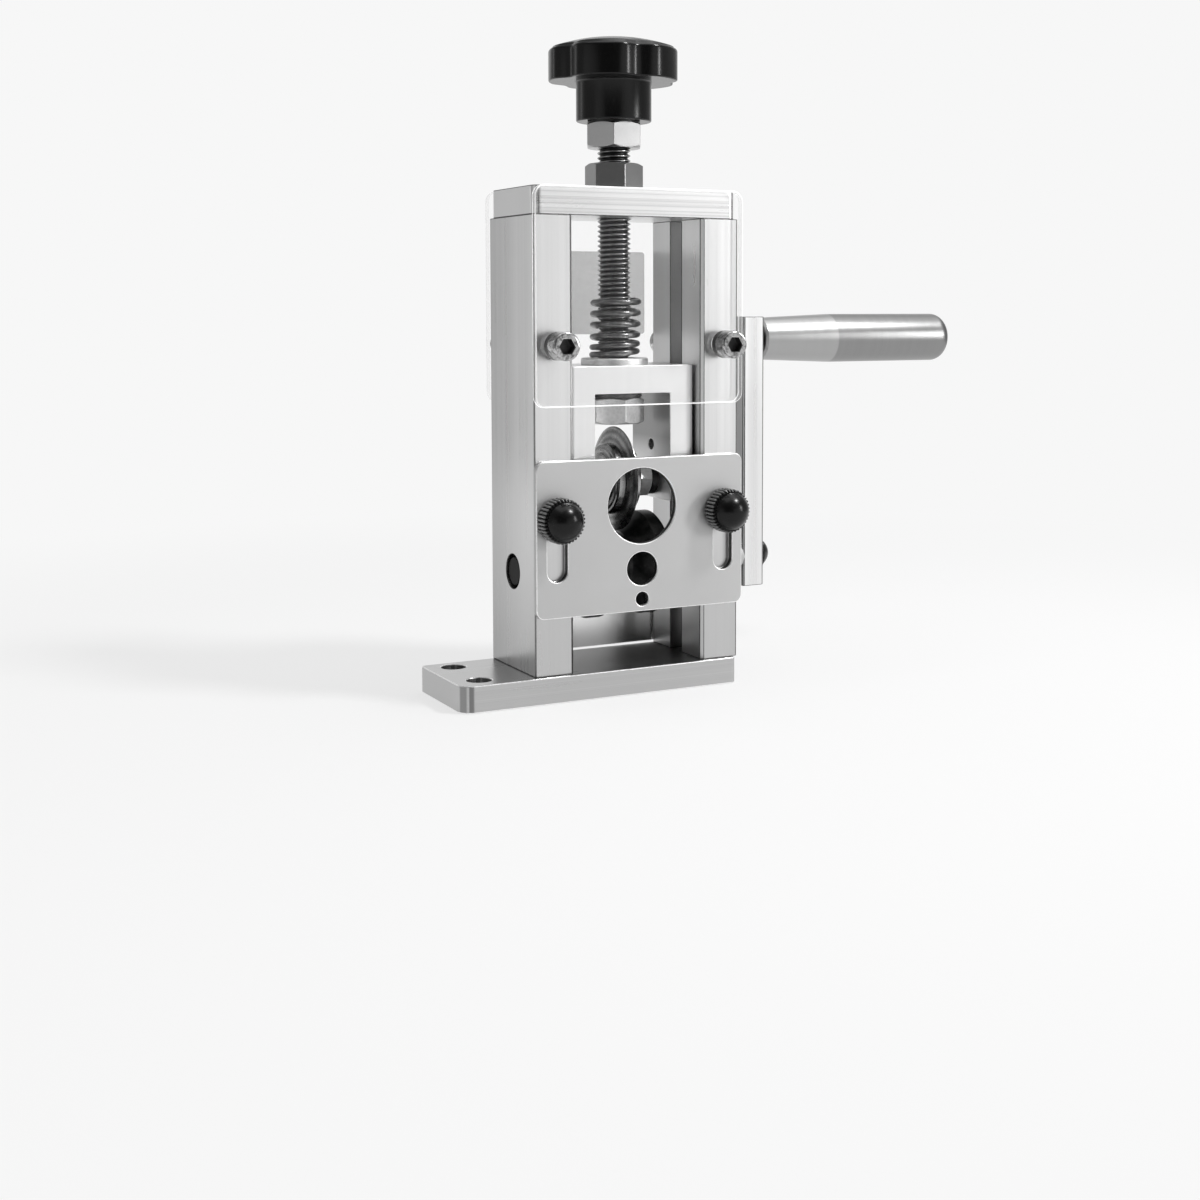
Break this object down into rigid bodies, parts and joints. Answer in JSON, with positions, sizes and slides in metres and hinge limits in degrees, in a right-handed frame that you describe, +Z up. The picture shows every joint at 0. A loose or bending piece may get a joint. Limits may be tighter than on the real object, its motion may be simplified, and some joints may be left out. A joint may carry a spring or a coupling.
{
  "type": "hand crank wire stripper",
  "caption": "Bench-mounted wire stripper: a crank turns a grooved feed roller under a round blade, whose carriage is set by a screw with a star knob, behind a slotted guide plate.",
  "frame": {"origin": "on the bench, under the lifting screw's axis, midway between the side plates", "axes": "+X towards the crank, +Y towards the back, +Z up along the lifting screw"},
  "size_m": [0.2149, 0.0602, 0.235],
  "materials": {
    "brushed_aluminium": "brushed",
    "turned_aluminium": "satin turned",
    "satin_steel": "satin",
    "clear_acrylic": "polished clear",
    "plated_steel": "polished",
    "zinc_steel": "zinc plated",
    "dark_steel": "oiled",
    "blackened_steel": "blackened",
    "blade_steel": "turned",
    "spring_steel": "oiled wire",
    "black_plastic": "glossy"
  },
  "bodies": {
    "frame": {"base_plate": "brushed_aluminium", "left_side_plate": "brushed_aluminium", "right_side_plate": "brushed_aluminium", "top_plate": "brushed_aluminium", "rear_plate": "brushed_aluminium", "rear_plate_screws": "plated_steel", "frame_top_screws": "dark_steel", "frame_base_screws": "dark_steel", "front_guard": "clear_acrylic", "back_guard": "clear_acrylic", "front_guard_screws": "plated_steel", "front_guard_washers": "dark_steel", "back_guard_screws": "plated_steel", "left_shaft_bearing": "plated_steel", "right_shaft_bearing": "plated_steel", "lock_nut": "zinc_steel"},
    "guide": {"guide_plate": "satin_steel"},
    "left_thumb_screw": {"left_thumb_knob": "black_plastic", "left_thumb_stud": "plated_steel"},
    "right_thumb_screw": {"right_thumb_knob": "black_plastic", "right_thumb_stud": "plated_steel"},
    "crank": {"drive_shaft": "dark_steel", "shaft_key": "dark_steel", "left_roller_half": "blackened_steel", "right_roller_half": "blackened_steel", "left_roller_spacer": "plated_steel", "right_roller_spacer": "plated_steel", "crank_spacer": "plated_steel", "crank_arm": "brushed_aluminium", "crank_bolt": "blackened_steel", "grip_axle": "plated_steel", "grip_clip": "spring_steel"},
    "grip": {"crank_grip": "turned_aluminium"},
    "carriage": {"blade_carriage": "brushed_aluminium", "left_slide_key": "dark_steel", "right_slide_key": "dark_steel", "slide_key_screws": "dark_steel", "left_axle_bush": "blackened_steel", "right_axle_bush": "blackened_steel", "carriage_washer": "zinc_steel", "thrust_washer": "dark_steel", "lift_spring": "spring_steel"},
    "screw": {"lifting_screw": "zinc_steel", "jam_nut": "zinc_steel", "star_knob": "black_plastic", "knob_insert": "dark_steel"},
    "blade": {"blade_disc": "blade_steel", "blade_axle": "dark_steel", "left_blade_flange": "blade_steel", "right_blade_flange": "blade_steel", "blade_spacer": "plated_steel", "blade_nut": "zinc_steel"}
  },
  "joints": [
    {"name": "crank_turn", "type": "hinge", "parent": "frame", "child": "crank", "pos_m": [0, 0, 0.0443], "axis": [1, 0, 0], "continuous": true},
    {"name": "grip_spin", "type": "hinge", "parent": "crank", "child": "grip", "pos_m": [0.1, 0, 0.1262], "axis": [1, 0, 0], "continuous": true},
    {"name": "blade_lift", "type": "slide", "parent": "frame", "child": "carriage", "axis": [0, 0, 1], "range_m": [0, 0.025]},
    {"name": "knob_turn", "type": "hinge", "parent": "carriage", "child": "screw", "pos_m": [0, 0, 0.22], "axis": [0, 0, 1], "range_deg": [0, 5143]},
    {"name": "blade_spin", "type": "hinge", "parent": "carriage", "child": "blade", "pos_m": [0, 0, 0.0757], "axis": [1, 0, 0], "continuous": true},
    {"name": "guide_slide", "type": "slide", "parent": "frame", "child": "guide", "axis": [0, 0, 1], "range_m": [0, 0.018]},
    {"name": "left_thumb_turn", "type": "hinge", "parent": "frame", "child": "left_thumb_screw", "pos_m": [-0.033, -0.025, 0.0646], "axis": [0, -1, 0], "range_deg": [0, 360]},
    {"name": "right_thumb_turn", "type": "hinge", "parent": "frame", "child": "right_thumb_screw", "pos_m": [0.033, -0.025, 0.0646], "axis": [0, -1, 0], "range_deg": [0, 360]}
  ],
  "couplings": [
    {"joint": "knob_turn", "follows": "blade_lift", "rad_per_m": 3590.4}
  ]
}
